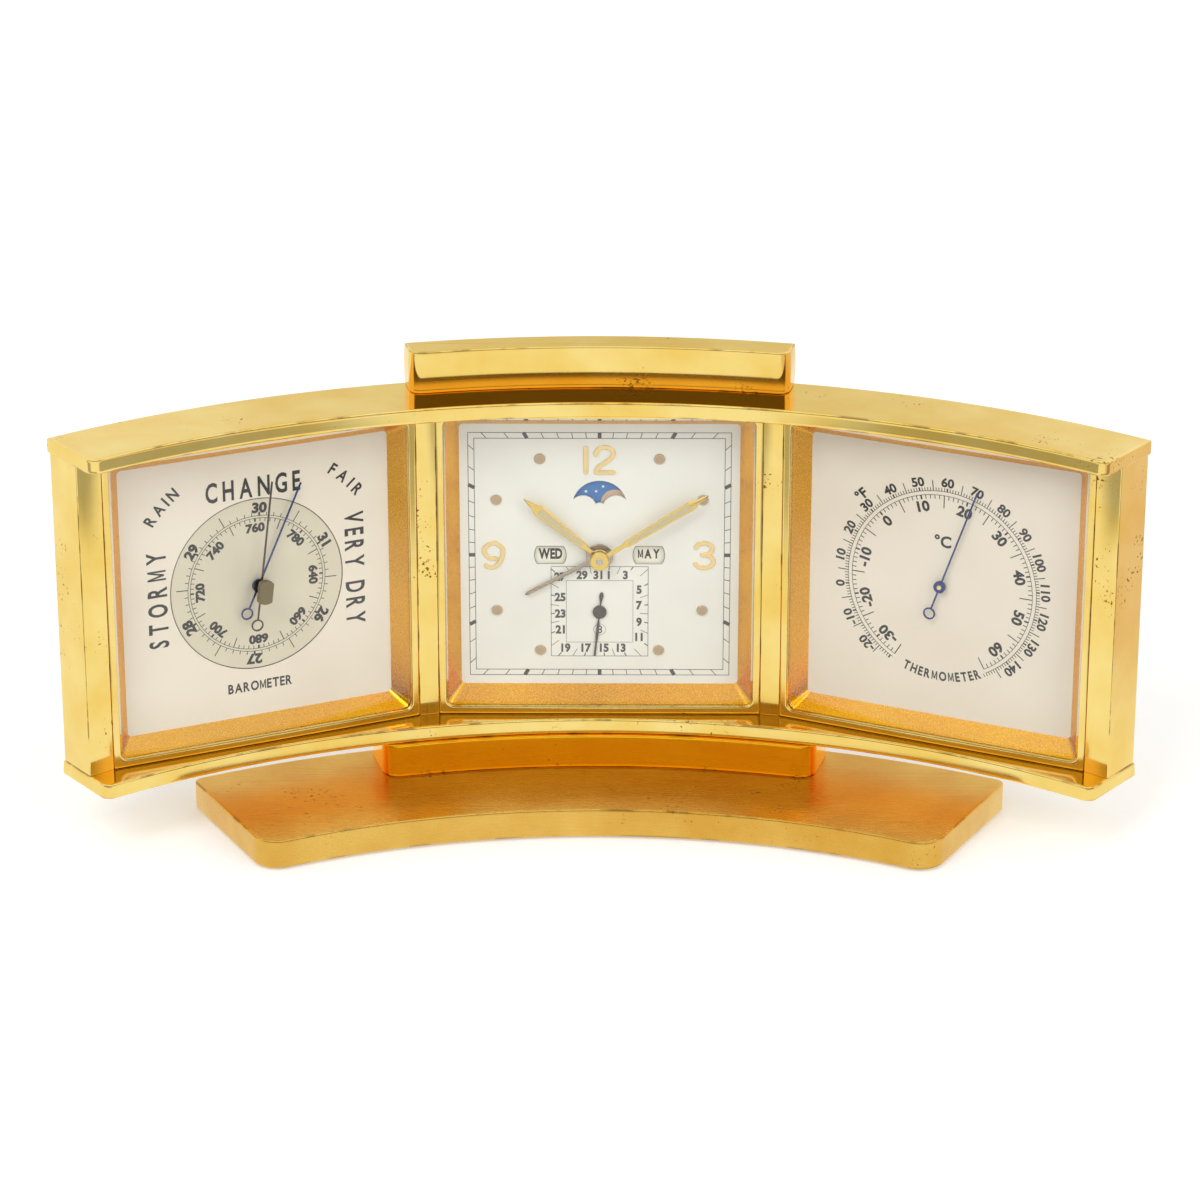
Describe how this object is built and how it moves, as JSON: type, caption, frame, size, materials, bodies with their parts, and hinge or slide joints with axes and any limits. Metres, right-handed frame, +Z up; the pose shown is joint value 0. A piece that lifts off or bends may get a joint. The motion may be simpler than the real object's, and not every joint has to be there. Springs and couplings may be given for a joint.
{
  "type": "three-dial desk weather station with alarm calendar clock",
  "caption": "Curved polished brass desk set with square bevelled glass faces: barometer, alarm calendar clock with moon phase, and thermometer, between two rails on a curved base.",
  "frame": {"origin": "centre of the bounding box at the surface the felt rests on", "axes": "+X to the reader's right along the long side, +Y from the dials to the back, +Z up"},
  "size_m": [0.28, 0.0868, 0.1229],
  "materials": {
    "gilt_brass_polished": "polished",
    "gilt_brass_brushed": "brushed",
    "felt": "felt",
    "glass": "clear, bevelled edge",
    "clock_dial_white": "matt silver white",
    "side_dial_silvered": "matt warm grey",
    "brass_lacquered": "satin",
    "hand_gilt": "polished",
    "hand_grey": "satin",
    "blued_steel": "blued",
    "hand_brown": "satin",
    "nickel": "satin",
    "calendar_disc": "matt",
    "moon_blue": "satin",
    "movement_brass": "satin",
    "steel": "satin"
  },
  "bodies": {
    "case": {"base_plate": "gilt_brass_brushed", "base_felt": "felt", "pedestal": "gilt_brass_brushed", "lower_rail": "gilt_brass_polished", "upper_rail": "gilt_brass_polished", "crest": "gilt_brass_polished", "end_pillar_left": "gilt_brass_polished", "end_pillar_right": "gilt_brass_polished", "mullion_left": "gilt_brass_polished", "mullion_right": "gilt_brass_polished", "barometer_bezel": "gilt_brass_polished", "barometer_glass": "glass", "barometer_rehaut": "gilt_brass_polished", "barometer_dial": "side_dial_silvered", "barometer_housing": "brass_lacquered", "barometer_back_cover": "brass_lacquered", "clock_bezel": "gilt_brass_polished", "clock_glass": "glass", "clock_rehaut": "gilt_brass_polished", "clock_dial": "clock_dial_white", "clock_housing": "brass_lacquered", "clock_back_cover": "brass_lacquered", "thermometer_bezel": "gilt_brass_polished", "thermometer_glass": "glass", "thermometer_rehaut": "gilt_brass_polished", "thermometer_dial": "side_dial_silvered", "thermometer_housing": "brass_lacquered", "thermometer_back_cover": "brass_lacquered", "movement_frame": "movement_brass", "alarm_gong": "steel", "barometer_capsule": "movement_brass", "thermometer_coil": "steel"},
    "minute_works": {"time_knob": "movement_brass", "centre_wheel": "movement_brass", "minute_hand": "hand_gilt"},
    "hour_hand": {"hour_hand": "hand_gilt"},
    "alarm_hand": {"alarm_hand": "hand_grey"},
    "alarm_setting": {"alarm_knob": "movement_brass"},
    "date_hand": {"date_hand": "hand_grey"},
    "day_disc": {"day_disc": "calendar_disc"},
    "month_disc": {"month_disc": "calendar_disc"},
    "moon_disc": {"moon_disc": "moon_blue"},
    "time_barrel": {"time_barrel": "movement_brass"},
    "alarm_barrel": {"alarm_barrel": "movement_brass"},
    "third_wheel": {"third_wheel": "movement_brass"},
    "escape_wheel": {"escape_wheel": "steel"},
    "pallet_fork": {"pallet_fork": "steel"},
    "balance_wheel": {"balance_wheel": "movement_brass"},
    "alarm_hammer": {"alarm_hammer": "steel"},
    "time_key": {"time_key": "movement_brass"},
    "alarm_key": {"alarm_key": "movement_brass"},
    "day_corrector": {"day_corrector": "movement_brass"},
    "date_corrector": {"date_corrector": "movement_brass"},
    "month_corrector": {"month_corrector": "movement_brass"},
    "moon_corrector": {"moon_corrector": "movement_brass"},
    "alarm_stop": {"alarm_stop": "movement_brass"},
    "barometer_hand": {"barometer_hand": "blued_steel"},
    "barometer_set_hand": {"barometer_set_knob": "nickel", "barometer_set_hand": "hand_brown"},
    "thermometer_hand": {"thermometer_hand": "blued_steel"}
  },
  "joints": [
    {"name": "minute_turn", "type": "hinge", "parent": "case", "child": "minute_works", "pos_m": [0, 0.01192, 0.0646], "axis": [0, 1, 0], "continuous": true},
    {"name": "hour_turn", "type": "hinge", "parent": "case", "child": "hour_hand", "pos_m": [0, 0.01322, 0.0646], "axis": [0, 1, 0], "continuous": true},
    {"name": "alarm_turn", "type": "hinge", "parent": "case", "child": "alarm_hand", "pos_m": [0, 0.01452, 0.0646], "axis": [0, 1, 0], "continuous": true},
    {"name": "alarm_knob_turn", "type": "hinge", "parent": "case", "child": "alarm_setting", "pos_m": [-0.00895, 0.01782, 0.07355], "axis": [0, 1, 0], "continuous": true},
    {"name": "date_turn", "type": "hinge", "parent": "case", "child": "date_hand", "pos_m": [0, 0.01522, 0.0484], "axis": [0, 1, 0], "continuous": true},
    {"name": "day_turn", "type": "hinge", "parent": "case", "child": "day_disc", "pos_m": [-0.0232, 0.01692, 0.0646], "axis": [0, 1, 0], "continuous": true},
    {"name": "month_turn", "type": "hinge", "parent": "case", "child": "month_disc", "pos_m": [0.0232, 0.01692, 0.0646], "axis": [0, 1, 0], "continuous": true},
    {"name": "moon_turn", "type": "hinge", "parent": "case", "child": "moon_disc", "pos_m": [0, 0.01692, 0.0772], "axis": [0, 1, 0], "continuous": true},
    {"name": "time_barrel_turn", "type": "hinge", "parent": "case", "child": "time_barrel", "pos_m": [-0.01146, 0.02322, 0.05664], "axis": [0, 1, 0], "continuous": true},
    {"name": "alarm_barrel_turn", "type": "hinge", "parent": "case", "child": "alarm_barrel", "pos_m": [0.0146, 0.02322, 0.0561], "axis": [0, 1, 0], "continuous": true},
    {"name": "third_wheel_turn", "type": "hinge", "parent": "case", "child": "third_wheel", "pos_m": [0.00185, 0.02412, 0.07509], "axis": [0, 1, 0], "continuous": true},
    {"name": "escape_wheel_turn", "type": "hinge", "parent": "case", "child": "escape_wheel", "pos_m": [0.0097, 0.02692, 0.07795], "axis": [0, 1, 0], "continuous": true},
    {"name": "pallet_swing", "type": "hinge", "parent": "case", "child": "pallet_fork", "pos_m": [0.01496, 0.02692, 0.0804], "axis": [0, 1, 0], "range_deg": [-5, 5]},
    {"name": "balance_swing", "type": "hinge", "parent": "case", "child": "balance_wheel", "pos_m": [0.0224, 0.02792, 0.08239], "axis": [0, 1, 0], "range_deg": [-150, 150]},
    {"name": "hammer_swing", "type": "hinge", "parent": "case", "child": "alarm_hammer", "pos_m": [-0.019, 0.03132, 0.08661], "axis": [0, 1, 0], "range_deg": [-6, 1]},
    {"name": "time_key_turn", "type": "hinge", "parent": "case", "child": "time_key", "pos_m": [-0.01146, 0.03482, 0.05664], "axis": [0, 1, 0], "continuous": true},
    {"name": "alarm_key_turn", "type": "hinge", "parent": "case", "child": "alarm_key", "pos_m": [0.0146, 0.03482, 0.0561], "axis": [0, 1, 0], "continuous": true},
    {"name": "day_press", "type": "slide", "parent": "case", "child": "day_corrector", "axis": [0, -1, 0], "range_m": [0, 0.0012], "stiffness_N_per_m": 400, "springref_m": -0.001},
    {"name": "date_press", "type": "slide", "parent": "case", "child": "date_corrector", "axis": [0, -1, 0], "range_m": [0, 0.0012], "stiffness_N_per_m": 400, "springref_m": -0.001},
    {"name": "month_press", "type": "slide", "parent": "case", "child": "month_corrector", "axis": [0, -1, 0], "range_m": [0, 0.0012], "stiffness_N_per_m": 400, "springref_m": -0.001},
    {"name": "moon_press", "type": "slide", "parent": "case", "child": "moon_corrector", "axis": [0, -1, 0], "range_m": [0, 0.0012], "stiffness_N_per_m": 400, "springref_m": -0.001},
    {"name": "alarm_stop_slide", "type": "slide", "parent": "case", "child": "alarm_stop", "axis": [1, 0, 0], "range_m": [0, 0.006]},
    {"name": "barometer_turn", "type": "hinge", "parent": "case", "child": "barometer_hand", "pos_m": [-0.0889, -0.00584, 0.0646], "axis": [-0.4099, 0.9121, 0], "range_deg": [-174, 126]},
    {"name": "set_knob_turn", "type": "hinge", "parent": "case", "child": "barometer_set_hand", "pos_m": [-0.08813, -0.00758, 0.0646], "axis": [-0.4099, 0.9121, 0], "continuous": true},
    {"name": "thermometer_turn", "type": "hinge", "parent": "case", "child": "thermometer_hand", "pos_m": [0.0889, -0.00584, 0.0646], "axis": [0.4099, 0.9121, 0], "range_deg": [-168.9, 131.1]}
  ],
  "couplings": [
    {"joint": "hour_turn", "follows": "minute_turn", "ratio": 0.083333},
    {"joint": "date_turn", "follows": "minute_turn", "ratio": 0.0013441},
    {"joint": "day_turn", "follows": "minute_turn", "ratio": 0.0059524},
    {"joint": "moon_turn", "follows": "minute_turn", "ratio": 0.0007055},
    {"joint": "time_barrel_turn", "follows": "minute_turn", "ratio": -0.15},
    {"joint": "third_wheel_turn", "follows": "minute_turn", "ratio": -6},
    {"joint": "alarm_turn", "follows": "alarm_knob_turn", "ratio": -0.91176}
  ]
}
